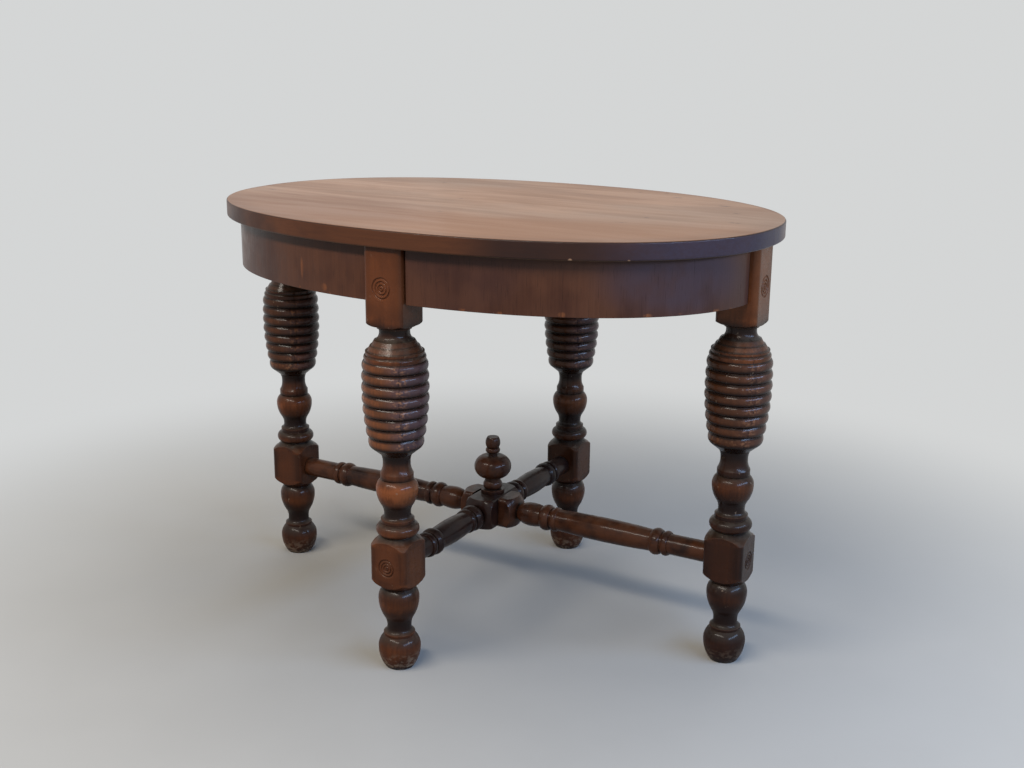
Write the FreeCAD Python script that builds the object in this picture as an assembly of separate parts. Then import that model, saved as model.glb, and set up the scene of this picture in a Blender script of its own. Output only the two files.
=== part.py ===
import FreeCAD, Part
import math
import os

from FreeCAD import Placement, Rotation, Vector

# Oval side table: four turned legs at the ends of the oval's axes, a curved apron between
# them, a crossed pair of turned stretchers with a finial, and a solid oval top.
# All lengths are millimetres. Z is up from the floor, X runs along the oval's length,
# and the origin is on the floor under the middle of the top. A rise is a length along
# the axis of a turned piece.

# Whole table. The turned lengths of the legs below are those at this height, and another
# height draws them all out or presses them together alike.
table_height = 559.0
top_length = 762.0
top_width = 525.0

# Top
top_thickness = 21.0
top_upper_round = 2.0
top_lower_round = 2.0
# Share by which the oval is fuller than a plain ellipse.
oval_fullness_share = 0.09
oval_point_count = 48

# Fits between pieces
fit_clearance = 0.15
end_clearance = 1.0
cut_overrun = 4.0

# Leg blocks, which stay square, and the rim-to-axis distance of every leg
leg_inset = 34.0
block_width = 52.0
block_edge_round = 7.0
# Turned shoulders of the blocks: a slope out of the turning, then a round to the corners.
shoulder_round_dia = 54.0
shoulder_round_rise = 10.0

# Foot
foot_flat_dia = 35.5
foot_ball_dia = 53.5
foot_ball_low_rise = 27.0
foot_ball_high_rise = 17.0
foot_ball_top_dia = 37.0
foot_fillet_dia = 39.5
foot_fillet_rise = 3.0
foot_cove_rise = 6.5
foot_neck_dia = 30.5
foot_neck_rise = 3.0

# Small vase between foot and lower block
low_vase_foot_dia = 37.5
low_vase_foot_rise = 12.0
low_vase_dia = 51.5
low_vase_low_rise = 25.0
low_vase_high_rise = 14.0
low_vase_top_dia = 40.0

# Lower block, which takes the stretcher
lower_shoulder_rise = 6.5
lower_round_rise = 16.0
lower_block_rise = 25.5
lower_cap_rise = 6.0
lower_cap_dia = 41.0
# Distance of the stretchers and the lower roundel below the middle of the lower block.
stretcher_drop = 3.0

# Ring and fillet above the lower block
torus_dia = 53.5
torus_rise = 16.0
torus_top_dia = 38.0
torus_fillet_dia = 41.5
torus_fillet_rise = 5.5

# Middle vase
vase_cove_rise = 6.0
vase_neck_dia = 33.0
vase_neck_rise = 1.5
vase_foot_dia = 39.5
vase_foot_rise = 10.5
vase_dia = 52.0
vase_low_rise = 21.0
vase_high_rise = 13.5
vase_top_dia = 36.5
vase_fillet_dia = 41.0
vase_fillet_rise = 6.5

# Neck and cup under the ringed swelling
neck_cove_rise = 12.0
neck_dia = 34.0
neck_rise = 3.0
cup_cove_rise = 9.3
cup_foot_dia = 38.5
cup_rise = 9.7
cup_dia = 62.5

# Ringed swelling
ring_count = 8
ring_rise = 13.6
ring_groove_depth = 2.9
ring_low_dia = 68.0
ring_belly_dia = 82.0
ring_high_dia = 80.0
# Share of the ring stack below its widest ring.
ring_belly_share = 0.7

# Collars between the ringed swelling and the upper block
band_dia = 75.0
band_rise = 6.5
band_top_dia = 70.0
collar_dia = 71.0
collar_rise = 4.0
dome_dia = 67.0
dome_low_rise = 6.5
dome_low_top_dia = 59.5
dome_high_dia = 57.0
dome_high_rise = 6.5
dome_top_dia = 49.5
throat_foot_dia = 47.5
throat_cove_rise = 9.2
throat_dia = 37.0
throat_rise = 5.0
upper_fillet_dia = 42.0
upper_fillet_rise = 1.5

# Upper block, which takes the aprons
upper_shoulder_rise = 2.5
upper_block_rise = 85.5

# Roundels cut in the outward face of each block
upper_roundel_drop = 49.0
upper_roundel_dia = 27.0
lower_roundel_dia = 24.0
roundel_groove_radius = 1.3
roundel_ring_shares = (1.0, 0.64, 0.3)

# Apron rails
apron_inset = 17.0
apron_thickness = 20.0
apron_height = 66.5
apron_end_gap = 2.0
tenon_length = 18.0
tenon_thickness = 9.0
tenon_root = 8.0
tenon_low_shoulder = 7.0
tenon_high_shoulder = 12.0

# Pegs through the apron tenons, driven from the inner face of the leg block
peg_dia = 6.0
peg_length = 40.0

# Stretchers: the block at the crossing and the turned arms
stretcher_block_width = 41.5
stretcher_block_half_rise = 23.5
stretcher_edge_round = 5.0
stretcher_dome_rise = 19.5
stretcher_neck_dia = 19.5
bulb_dia = 32.0
bulb_low_rise = 20.0
bulb_high_rise = 17.0
bulb_end_dia = 27.5
short_neck_rise = 6.0
bead_large_dia = 35.5
bead_large_rise = 14.0
bead_small_dia = 33.0
bead_small_rise = 8.5
bead_edge_dia = 29.5
bead_groove_dia = 27.0
bead_groove_rise = 2.5
barrel_dia = 32.5
barrel_end_dia = 28.5
arm_dia = 27.0
long_arm_rise = 54.0
short_arm_rise = 33.0
round_tenon_dia = 18.0
round_tenon_length = 22.0

# Finial on the crossing
finial_base_dia = 32.5
finial_base_rise = 5.5
finial_low_bead_dia = 26.5
finial_low_bead_rise = 12.0
finial_low_neck_dia = 21.5
finial_low_neck_rise = 4.5
finial_ball_dia = 51.0
finial_ball_low_rise = 16.0
finial_ball_high_rise = 15.5
finial_ball_top_dia = 15.0
finial_high_neck_dia = 12.5
finial_high_neck_rise = 4.0
finial_high_bead_dia = 20.0
finial_high_bead_rise = 7.0
finial_groove_rise = 1.0
finial_cap_dia = 20.5
finial_cap_low_dia = 17.0
finial_cap_rise = 6.5
finial_crown_rise = 8.0
finial_crown_dia = 15.5
finial_tenon_dia = 12.0
finial_tenon_length = 34.0

# Glue blocks inside the apron
glue_line = 0.2
corner_block_width = 22.0
corner_block_height = 52.0
corner_block_chamfer = 9.0
top_block_length = 60.0
top_block_depth = 24.0
top_block_height = 26.0
# Places of the two top blocks along each apron, as shares of a quarter turn.
top_block_shares = (0.36, 0.68)

# Screws that hold the top, driven up through the top blocks
screw_dia = 4.5
screw_head_dia = 9.0
screw_head_rise = 4.5
screw_bite = 12.0
screw_slot_width = 1.2
screw_slot_depth = 1.3

# Places worked out from the sizes above
top_underside = table_height - top_thickness
half_block = block_width / 2
block_corner_dia = block_width * math.sqrt(2)
stretcher_corner_dia = stretcher_block_width * math.sqrt(2)
long_axis_leg = top_length / 2 - leg_inset
short_axis_leg = top_width / 2 - leg_inset
foot_rise = (
    foot_ball_low_rise + foot_ball_high_rise + foot_fillet_rise + foot_cove_rise + foot_neck_rise
    + low_vase_foot_rise + low_vase_low_rise + low_vase_high_rise
)
lower_part_rise = lower_shoulder_rise + lower_block_rise + lower_cap_rise + 2 * lower_round_rise
vase_part_rise = (
    torus_rise + torus_fillet_rise + vase_cove_rise + vase_neck_rise + vase_foot_rise + vase_low_rise
    + vase_high_rise + vase_fillet_rise
)
ring_part_rise = neck_cove_rise + neck_rise + cup_cove_rise + cup_rise + ring_count * ring_rise
collar_part_rise = (
    band_rise + collar_rise + dome_low_rise + dome_high_rise + throat_cove_rise + throat_rise
    + upper_fillet_rise
)
turned_rise = (
    foot_rise + lower_part_rise + vase_part_rise + ring_part_rise + collar_part_rise + upper_shoulder_rise
    + shoulder_round_rise
)
leg_stretch_share = (top_underside - upper_block_rise) / turned_rise
lower_block_start = foot_rise * leg_stretch_share
lower_block_end = (foot_rise + lower_part_rise) * leg_stretch_share
lower_block_middle = foot_rise + lower_shoulder_rise + lower_round_rise + lower_block_rise / 2
stretcher_height = (lower_block_middle - stretcher_drop) * leg_stretch_share
apron_bottom = top_underside - apron_height
apron_inner_inset = apron_inset + apron_thickness
apron_shoulder = half_block + apron_end_gap
tenon_offset = leg_inset - apron_inset - apron_thickness / 2
tenon_bottom = apron_bottom + tenon_low_shoulder
tenon_top = top_underside - tenon_high_shoulder
peg_height = (tenon_bottom + tenon_top) / 2
peg_side = half_block - tenon_length / 2
oval_power = 2 + 2 * oval_fullness_share


class Turning:
    """Outline of a turned piece, drawn along its axis from one end as lines and arcs."""

    def __init__(self, diameter, stretch_share=1):
        self.radius = diameter / 2
        self.rise = 0.0
        self.stretch_share = stretch_share
        self.edges = [Part.makeLine(Vector(0, 0, 0), Vector(self.radius, 0, 0))]

    def line_to(self, place, diameter):
        """Straight run to a place along the axis."""
        start = Vector(self.radius, 0, self.rise)
        end = Vector(diameter / 2, 0, place)
        if not start.isEqual(end, Part.Precision.confusion()):
            self.edges.append(Part.makeLine(start, end))
        self.radius = end.x
        self.rise = end.z

    def taper(self, rise, diameter):
        """Straight run to another diameter."""
        self.line_to(self.rise + rise * self.stretch_share, diameter)

    def straight(self, rise):
        """Plain cylinder."""
        self.taper(rise, self.radius * 2)

    def step(self, diameter):
        """Square shoulder."""
        self.taper(0, diameter)

    def arc(self, rise, diameter, upright_at_end):
        """Arc that runs parallel to the axis at one of its two ends."""
        length = rise * self.stretch_share
        start = Vector(self.radius, 0, self.rise)
        end = Vector(diameter / 2, 0, self.rise + length)
        upright = end if upright_at_end else start
        other = start if upright_at_end else end
        spread = upright.x - other.x
        if abs(spread) < Part.Precision.confusion():
            self.straight(rise)
            return
        curve = (length ** 2 + spread ** 2) / (2 * spread)
        centre = upright - Vector(curve, 0, 0)
        direction = (start - centre) + (end - centre)
        direction.normalize()
        middle = centre + direction * abs(curve)
        self.edges.append(Part.Arc(start, middle, end).toShape())
        self.radius = end.x
        self.rise = end.z

    def swell(self, rise, diameter):
        """Arc that ends parallel to the axis, at a belly or in the bottom of a cove."""
        self.arc(rise, diameter, True)

    def fall(self, rise, diameter):
        """Arc that leaves parallel to the axis, from a belly or out of a cove."""
        self.arc(rise, diameter, False)

    def bead(self, rise, diameter, end_diameter):
        """Round ring, widest half-way along."""
        self.swell(rise / 2, diameter)
        self.fall(rise / 2, end_diameter)

    def solid(self):
        """Closes the outline on the axis and spins it."""
        end = Vector(self.radius, 0, self.rise)
        axis_end = Vector(0, 0, self.rise)
        self.edges.append(Part.makeLine(end, axis_end))
        self.edges.append(Part.makeLine(axis_end, Vector(0, 0, 0)))
        face = Part.Face(Part.Wire(self.edges))
        return face.revolve(Vector(0, 0, 0), Vector(0, 0, 1), 360)


def box(low, high):
    """Box between two opposite corners, given in any order."""
    corner = Vector(min(low.x, high.x), min(low.y, high.y), min(low.z, high.z))
    size = Vector(abs(high.x - low.x), abs(high.y - low.y), abs(high.z - low.z))
    return Part.makeBox(size.x, size.y, size.z, corner)


def square_prism(width, edge_round, start, end):
    """Upright square bar on the Z axis with rounded long edges."""
    half = width / 2
    bar = box(Vector(-half, -half, start), Vector(half, half, end))
    upright = [edge for edge in bar.Edges if abs(edge.tangentAt(edge.FirstParameter).z) > 0.5]
    return bar.makeFillet(edge_round, upright)


def square_off(turned, width, edge_round, start, end):
    """Leaves a turned piece square between two heights."""
    waste = Part.makeCylinder(width, end - start, Vector(0, 0, start))
    bar = square_prism(width, edge_round, start - cut_overrun, end + cut_overrun)
    return turned.cut(waste.cut(bar))


def oval_point(inset, angle):
    """Point of the oval that lies inside the rim by an equal amount on both axes."""
    across = math.cos(angle)
    along = math.sin(angle)
    x = math.copysign(abs(across) ** (2 / oval_power), across) * (top_length / 2 - inset)
    y = math.copysign(abs(along) ** (2 / oval_power), along) * (top_width / 2 - inset)
    return Vector(x, y, 0)


def oval_normal(inset, angle):
    """Outward direction of the oval at the same point."""
    point = oval_point(inset, angle)
    half_length = top_length / 2 - inset
    half_width = top_width / 2 - inset
    x = math.copysign(abs(point.x / half_length) ** (oval_power - 1), point.x) / half_length
    y = math.copysign(abs(point.y / half_width) ** (oval_power - 1), point.y) / half_width
    normal = Vector(x, y, 0)
    normal.normalize()
    return normal


def oval_solid(inset, start, end):
    """Oval slab between two heights."""
    points = [
        oval_point(inset, 2 * math.pi * index / oval_point_count) + Vector(0, 0, start)
        for index in range(oval_point_count)
    ]
    curve = Part.BSplineCurve()
    curve.interpolate(Points=points, PeriodicFlag=True)
    face = Part.Face(Part.Wire([curve.toShape()]))
    return face.extrude(Vector(0, 0, end - start))


def top_block_places():
    """Middle of each top block's back, and the outward direction there, apron by apron."""
    places = {}
    for name, quarter in (("back_right", 0), ("back_left", 1), ("front_left", 2), ("front_right", 3)):
        shares = top_block_shares if quarter % 2 == 0 else [1 - share for share in top_block_shares]
        for number, share in enumerate(shares, start=1):
            angle = (quarter + share) * math.pi / 2
            places[f"{name}_{number}"] = (
                oval_point(apron_inner_inset + glue_line, angle),
                oval_normal(apron_inner_inset + glue_line, angle),
            )
    return places


def screw_places():
    """Axis of each screw, in the middle of its top block."""
    return [point - normal * (top_block_depth / 2) for point, normal in top_block_places().values()]


def make_top():
    """Solid oval board with eased arrises and blind pilot holes for the screws."""
    board = oval_solid(0, top_underside, table_height)
    upper = [edge for edge in board.Edges if edge.CenterOfMass.z > table_height - top_upper_round]
    board = board.makeFillet(top_upper_round, upper)
    lower = [edge for edge in board.Edges if edge.CenterOfMass.z < top_underside + top_lower_round]
    board = board.makeFillet(top_lower_round, lower)
    hole_radius = screw_dia / 2 + fit_clearance
    for place in screw_places():
        base = place + Vector(0, 0, top_underside - cut_overrun)
        depth = cut_overrun + screw_bite + end_clearance
        board = board.cut(Part.makeCylinder(hole_radius, depth, base))
    return board


def turned_leg():
    """Leg outline from the floor to the underside of the top, spun and with square blocks."""
    leg = Turning(foot_flat_dia, leg_stretch_share)
    leg.swell(foot_ball_low_rise, foot_ball_dia)
    leg.fall(foot_ball_high_rise, foot_ball_top_dia)
    leg.step(foot_fillet_dia)
    leg.straight(foot_fillet_rise)
    leg.swell(foot_cove_rise, foot_neck_dia)
    leg.straight(foot_neck_rise)
    leg.fall(low_vase_foot_rise, low_vase_foot_dia)
    leg.swell(low_vase_low_rise, low_vase_dia)
    leg.fall(low_vase_high_rise, low_vase_top_dia)
    leg.taper(lower_shoulder_rise, shoulder_round_dia)
    leg.swell(lower_round_rise, block_corner_dia)
    leg.straight(lower_block_rise)
    leg.fall(lower_round_rise, shoulder_round_dia)
    leg.taper(lower_cap_rise, lower_cap_dia)
    leg.bead(torus_rise, torus_dia, torus_top_dia)
    leg.step(torus_fillet_dia)
    leg.straight(torus_fillet_rise)
    leg.swell(vase_cove_rise, vase_neck_dia)
    leg.straight(vase_neck_rise)
    leg.fall(vase_foot_rise, vase_foot_dia)
    leg.swell(vase_low_rise, vase_dia)
    leg.fall(vase_high_rise, vase_top_dia)
    leg.step(vase_fillet_dia)
    leg.straight(vase_fillet_rise)
    leg.swell(neck_cove_rise, neck_dia)
    leg.straight(neck_rise)
    leg.fall(cup_cove_rise, cup_foot_dia)
    leg.taper(cup_rise, cup_dia)
    belly = ring_belly_share * (ring_count - 1)
    crests = []
    for index in range(ring_count):
        end_dia = ring_low_dia if index < belly else ring_high_dia
        reach = belly if index < belly else ring_count - 1 - belly
        crests.append(ring_belly_dia - (ring_belly_dia - end_dia) * ((index - belly) / reach) ** 2)
    for crest, following in zip(crests, crests[1:] + crests[-1:]):
        leg.bead(ring_rise, crest, (crest + following) / 2 - 2 * ring_groove_depth)
    leg.bead(band_rise, band_dia, band_top_dia)
    leg.step(collar_dia)
    leg.straight(collar_rise)
    leg.step(dome_dia)
    leg.taper(dome_low_rise, dome_low_top_dia)
    leg.step(dome_high_dia)
    leg.taper(dome_high_rise, dome_top_dia)
    leg.step(throat_foot_dia)
    leg.swell(throat_cove_rise, throat_dia)
    leg.straight(throat_rise)
    leg.step(upper_fillet_dia)
    leg.straight(upper_fillet_rise)
    upper_block_start = leg.rise
    leg.taper(upper_shoulder_rise, shoulder_round_dia)
    leg.swell(shoulder_round_rise, block_corner_dia)
    leg.line_to(top_underside, block_corner_dia)
    solid = leg.solid()
    solid = square_off(solid, block_width, block_edge_round, lower_block_start, lower_block_end)
    return square_off(solid, block_width, block_edge_round, upper_block_start, top_underside)


def roundel_cutters(height, diameter):
    """Concentric round grooves and a centre dimple in the outward face of a block."""
    centre = Vector(0, -half_block, height)
    outward = Vector(0, -1, 0)
    outer = diameter / 2 - roundel_groove_radius
    cutters = [
        Part.makeTorus(outer * share, roundel_groove_radius, centre, outward)
        for share in roundel_ring_shares
    ]
    cutters.append(Part.makeSphere(roundel_groove_radius, centre))
    return cutters


def peg_axes():
    """Inner ends of the two peg axes of a leg whose outward side is -Y."""
    return [Vector(side * peg_side, half_block, peg_height) for side in (-1, 1)]


def make_leg():
    """Leg on the Z axis with its outward side towards -Y, with mortises, socket and roundels."""
    cutters = []
    for side in (-1, 1):
        blind_end = half_block - tenon_length - end_clearance
        low = Vector(
            side * blind_end,
            -tenon_offset - tenon_thickness / 2 - fit_clearance,
            tenon_bottom - fit_clearance,
        )
        high = Vector(
            side * (half_block + cut_overrun),
            -tenon_offset + tenon_thickness / 2 + fit_clearance,
            tenon_top + fit_clearance,
        )
        cutters.append(box(low, high))
    inward = Vector(0, -1, 0)
    overrun = Vector(0, cut_overrun, 0)
    for start in peg_axes():
        depth = peg_length + end_clearance + cut_overrun
        cutters.append(Part.makeCylinder(peg_dia / 2 + fit_clearance, depth, start + overrun, inward))
    socket_start = Vector(0, half_block, stretcher_height) + overrun
    socket_depth = round_tenon_length + end_clearance + cut_overrun
    socket_radius = round_tenon_dia / 2 + fit_clearance
    cutters.append(Part.makeCylinder(socket_radius, socket_depth, socket_start, inward))
    cutters += roundel_cutters(top_underside - upper_roundel_drop, upper_roundel_dia)
    cutters += roundel_cutters(stretcher_height, lower_roundel_dia)
    return turned_leg().cut(cutters)


def leg_placements():
    """Where each leg stands, with its outward side turned away from the middle."""
    up = Vector(0, 0, 1)
    return {
        "leg_front": Placement(Vector(0, -short_axis_leg, 0), Rotation(up, 0)),
        "leg_right": Placement(Vector(long_axis_leg, 0, 0), Rotation(up, 90)),
        "leg_back": Placement(Vector(0, short_axis_leg, 0), Rotation(up, 180)),
        "leg_left": Placement(Vector(-long_axis_leg, 0, 0), Rotation(up, 270)),
    }


def placed(shape, placement):
    """Copy of a shape at a placement."""
    return shape.transformed(placement.toMatrix(), True)


def make_pegs():
    """Two pegs in every leg block, through the apron tenons."""
    pegs = []
    for placement in leg_placements().values():
        for start in peg_axes():
            peg = Part.makeCylinder(peg_dia / 2, peg_length, start, Vector(0, -1, 0))
            pegs.append(placed(peg, placement))
    return Part.makeCompound(pegs)


def make_apron(ring, peg_holes, side_x, side_y):
    """Curved rail in one quarter of the oval, with a tenon at each end."""
    low = Vector(side_x * apron_shoulder, side_y * apron_shoulder, apron_bottom - cut_overrun)
    high = Vector(side_x * top_length, side_y * top_width, top_underside + cut_overrun)
    rail = ring.common(box(low, high))
    tenon_in = half_block - tenon_length
    tenon_out = apron_shoulder + tenon_root
    half = tenon_thickness / 2
    middle_x = long_axis_leg + tenon_offset
    middle_y = short_axis_leg + tenon_offset
    short_axis_tenon = box(
        Vector(side_x * tenon_in, side_y * (middle_y - half), tenon_bottom),
        Vector(side_x * tenon_out, side_y * (middle_y + half), tenon_top),
    )
    long_axis_tenon = box(
        Vector(side_x * (middle_x - half), side_y * tenon_in, tenon_bottom),
        Vector(side_x * (middle_x + half), side_y * tenon_out, tenon_top),
    )
    rail = rail.fuse([short_axis_tenon, long_axis_tenon]).removeSplitter()
    return rail.cut(peg_holes)


def peg_hole_tools():
    """Clearance holes for the pegs in the tenons."""
    tools = []
    for placement in leg_placements().values():
        for start in peg_axes():
            tool = Part.makeCylinder(peg_dia / 2 + fit_clearance, block_width, start, Vector(0, -1, 0))
            tools.append(placed(tool, placement))
    return tools


def bead_pair(arm):
    """Large and small ring with a groove between them."""
    arm.step(bead_edge_dia)
    arm.bead(bead_large_rise, bead_large_dia, bead_edge_dia)
    arm.step(bead_groove_dia)
    arm.straight(bead_groove_rise)
    arm.step(bead_edge_dia)
    arm.bead(bead_small_rise, bead_small_dia, bead_edge_dia)


def half_stretcher(reach, plain_rise, with_bulb):
    """Half of a stretcher from the crossing to the end of its tenon, along +Z."""
    arm = Turning(stretcher_corner_dia)
    arm.straight(stretcher_block_half_rise)
    arm.fall(stretcher_dome_rise, stretcher_neck_dia)
    if with_bulb:
        arm.swell(bulb_low_rise, bulb_dia)
        arm.fall(bulb_high_rise, bulb_end_dia)
    else:
        arm.straight(short_neck_rise)
    bead_pair(arm)
    arm.step(barrel_end_dia)
    pair_rise = bead_large_rise + bead_groove_rise + bead_small_rise
    arm.bead(reach - arm.rise - pair_rise - plain_rise, barrel_dia, barrel_end_dia)
    bead_pair(arm)
    arm.step(arm_dia)
    arm.straight(plain_rise)
    arm.step(round_tenon_dia)
    arm.straight(round_tenon_length)
    dome_end = stretcher_block_half_rise + stretcher_dome_rise
    return square_off(arm.solid(), stretcher_block_width, stretcher_edge_round, -cut_overrun, dome_end)


def make_stretcher(reach, plain_rise, with_bulb, heading, keeps_upper_half):
    """Turned stretcher through the crossing, halved there for the other one."""
    half = half_stretcher(reach, plain_rise, with_bulb)
    middle = Vector(0, 0, stretcher_height)
    across = Vector(-heading.y, heading.x, 0)
    bars = [
        placed(half, Placement(middle, Rotation(across, turn)))
        for turn in (90, -90)
    ]
    whole = bars[0].fuse(bars[1]).removeSplitter()
    notch_half = stretcher_block_width / 2 + fit_clearance
    side = -1 if keeps_upper_half else 1
    corner = heading * notch_half + across * stretcher_block_width
    notch = box(middle - corner, middle + corner + Vector(0, 0, side * stretcher_block_width))
    hole_base = middle + Vector(0, 0, stretcher_block_width / 2 - finial_tenon_length - end_clearance)
    hole = Part.makeCylinder(finial_tenon_dia / 2 + fit_clearance, stretcher_block_width, hole_base)
    return whole.cut([notch, hole])


def make_finial():
    """Turned finial that stands on the crossing, with its tenon through the lap."""
    turned = Turning(finial_tenon_dia)
    turned.straight(finial_tenon_length)
    turned.step(finial_base_dia)
    turned.straight(finial_base_rise)
    turned.step(finial_low_neck_dia)
    turned.bead(finial_low_bead_rise, finial_low_bead_dia, finial_low_neck_dia)
    turned.straight(finial_low_neck_rise)
    turned.swell(finial_ball_low_rise, finial_ball_dia)
    turned.fall(finial_ball_high_rise, finial_ball_top_dia)
    turned.step(finial_high_neck_dia)
    turned.straight(finial_high_neck_rise)
    turned.bead(finial_high_bead_rise, finial_high_bead_dia, finial_cap_low_dia)
    turned.step(finial_high_neck_dia)
    turned.straight(finial_groove_rise)
    turned.step(finial_cap_low_dia)
    turned.swell(finial_cap_rise, finial_cap_dia)
    turned.fall(finial_crown_rise, finial_crown_dia)
    seat = stretcher_height + stretcher_block_width / 2
    return placed(turned.solid(), Placement(Vector(0, 0, seat - finial_tenon_length), Rotation()))


def make_corner_block(inner, leg_placement, side):
    """Glue block in the corner between a leg block and the back of one apron."""
    bottom = top_underside - corner_block_height
    outer_x = half_block + corner_block_width
    back_y = -leg_inset
    profile = [
        Vector(side * half_block, half_block, bottom),
        Vector(side * (outer_x - corner_block_chamfer), half_block, bottom),
        Vector(side * outer_x, half_block - corner_block_chamfer, bottom),
        Vector(side * outer_x, back_y, bottom),
        Vector(side * half_block, back_y, bottom),
    ]
    prism = Part.Face(Part.makePolygon(profile + profile[:1])).extrude(Vector(0, 0, corner_block_height))
    return placed(prism, leg_placement).common(inner)


def make_top_block(inner, point, normal):
    """Glue block behind an apron that takes one screw up into the top."""
    bottom = top_underside - top_block_height
    half_length = top_block_length / 2
    bar = box(
        Vector(-top_block_depth, -half_length, bottom),
        Vector(top_block_depth, half_length, top_underside),
    )
    turn = math.degrees(math.atan2(normal.y, normal.x))
    bar = placed(bar, Placement(point, Rotation(Vector(0, 0, 1), turn)))
    axis = point - normal * (top_block_depth / 2)
    hole_base = axis + Vector(0, 0, bottom - cut_overrun)
    hole = Part.makeCylinder(screw_dia / 2 + fit_clearance, top_block_height + 2 * cut_overrun, hole_base)
    head_radius = screw_head_dia / 2 + fit_clearance
    seat = Part.makeCone(
        head_radius, screw_dia / 2 + fit_clearance, screw_head_rise, axis + Vector(0, 0, bottom)
    )
    return bar.common(inner).cut([hole, seat])


def make_screws():
    """Countersunk slotted screws, one through each top block."""
    screws = []
    bottom = top_underside - top_block_height
    for axis in screw_places():
        base = axis + Vector(0, 0, bottom)
        head = Part.makeCone(screw_head_dia / 2, screw_dia / 2, screw_head_rise, base)
        shank_rise = top_block_height + screw_bite - screw_head_rise
        shank = Part.makeCylinder(screw_dia / 2, shank_rise, base + Vector(0, 0, screw_head_rise))
        slot = box(
            base - Vector(screw_head_dia, screw_slot_width / 2, 0),
            base + Vector(screw_head_dia, screw_slot_width / 2, screw_slot_depth),
        )
        screws.append(head.fuse(shank).removeSplitter().cut(slot))
    return Part.makeCompound(screws)


def make_parts():
    """Every piece of the table by name."""
    parts = {"top": make_top()}
    leg = make_leg()
    for name, placement in leg_placements().items():
        parts[name] = placed(leg, placement)
    ring = oval_solid(apron_inset, apron_bottom, top_underside).cut(
        oval_solid(apron_inner_inset, apron_bottom - cut_overrun, top_underside + cut_overrun)
    )
    holes = peg_hole_tools()
    for end, side_y in (("front", -1), ("back", 1)):
        for side, side_x in (("left", -1), ("right", 1)):
            parts[f"apron_{end}_{side}"] = make_apron(ring, holes, side_x, side_y)
    parts["tenon_pegs"] = make_pegs()
    long_reach = long_axis_leg - half_block
    short_reach = short_axis_leg - half_block
    parts["long_stretcher"] = make_stretcher(long_reach, long_arm_rise, True, Vector(1, 0, 0), False)
    parts["short_stretcher"] = make_stretcher(short_reach, short_arm_rise, False, Vector(0, 1, 0), True)
    parts["finial"] = make_finial()
    inner = oval_solid(apron_inner_inset + glue_line, apron_bottom, top_underside)
    for name, placement in leg_placements().items():
        for number, side in ((1, -1), (2, 1)):
            block_name = name.replace("leg", "corner_block")
            parts[f"{block_name}_{number}"] = make_corner_block(inner, placement, side)
    for name, (point, normal) in top_block_places().items():
        parts[f"top_block_{name}"] = make_top_block(inner, point, normal)
    parts["top_screws"] = make_screws()
    return parts


os.makedirs("parts", exist_ok=True)
for part_name, part_shape in make_parts().items():
    part_shape.exportStep(f"parts/{part_name}.step")
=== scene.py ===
import math

import bpy
from mathutils import Matrix, Vector


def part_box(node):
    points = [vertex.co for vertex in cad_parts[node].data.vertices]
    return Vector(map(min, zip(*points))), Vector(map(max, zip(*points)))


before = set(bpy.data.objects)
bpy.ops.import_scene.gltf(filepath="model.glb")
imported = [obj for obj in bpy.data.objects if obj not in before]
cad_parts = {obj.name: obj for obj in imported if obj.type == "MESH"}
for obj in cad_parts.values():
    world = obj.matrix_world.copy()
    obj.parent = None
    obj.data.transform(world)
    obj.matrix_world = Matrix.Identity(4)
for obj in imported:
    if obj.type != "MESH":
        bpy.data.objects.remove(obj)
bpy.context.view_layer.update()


# Legs
# Four turned hardwood legs, stained dark and varnished. The ringed swelling is built up with cheeks
# glued to the square stock before turning, so a fine seam runs up it. Square blocks take the rails.

leg_dark = (0.0130, 0.0055, 0.0040)
leg_brown = (0.1050, 0.0310, 0.0110)
leg_worn = (0.2650, 0.0780, 0.0250)
leg_scuff = (0.2900, 0.1950, 0.1300)
leg_chafed = (0.3800, 0.1700, 0.0800)
ring_olive = (0.1250, 0.0600, 0.0320)
# Bluish reflection of the window light, painted on one side of the rings.
ring_painted_sheen = (0.0950, 0.0640, 0.0760)
# Black of dark seams, and of dirt and painted shade in hollows.
grime_and_shade_black = (0.0055, 0.0032, 0.0026)
dust_olive = (0.1300, 0.1050, 0.0750)
# Height in metres and how far the dark stain has worn off each turning there.
leg_tones = (
    (0.000, 0.10), (0.010, 0.38), (0.027, 0.42), (0.041, 0.16), (0.0455, 0.30), (0.051, 0.06),
    (0.060, 0.02), (0.074, 0.20), (0.088, 0.54), (0.099, 0.34), (0.1075, 0.10), (0.116, 0.48),
    (0.140, 0.56), (0.168, 0.48), (0.1765, 0.12), (0.183, 0.58), (0.189, 0.34), (0.1935, 0.12),
    (0.1975, 0.28), (0.204, 0.04), (0.215, 0.08), (0.226, 0.62), (0.238, 1.00), (0.2475, 0.58),
    (0.2515, 0.16), (0.256, 0.44), (0.266, 0.34), (0.276, 0.08), (0.292, 0.14),
)
collar_tones = (
    (0.400, 0.40), (0.404, 0.52), (0.4073, 0.10), (0.410, 0.46), (0.4113, 0.08), (0.4140, 0.40),
    (0.4165, 0.36), (0.4180, 0.06), (0.4200, 0.34), (0.4230, 0.30), (0.4245, 0.06), (0.429, 0.16),
    (0.434, 0.08), (0.440, 0.08), (0.452, 0.44), (0.475, 0.52), (0.520, 0.50), (0.540, 0.44),
)
# Height in metres and how much dust lies on what faces up there.
leg_dust = (
    (0.000, 0.0), (0.040, 0.25), (0.050, 0.35), (0.062, 0.05), (0.095, 0.1), (0.107, 0.3), (0.152, 0.25),
    (0.177, 0.3), (0.198, 0.3), (0.206, 0.05), (0.240, 0.1), (0.252, 0.25), (0.268, 0.1), (0.300, 0.03),
    (0.398, 0.08), (0.408, 0.45), (0.425, 0.45), (0.440, 0.2), (0.452, 0.1), (0.540, 0.0),
)
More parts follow.
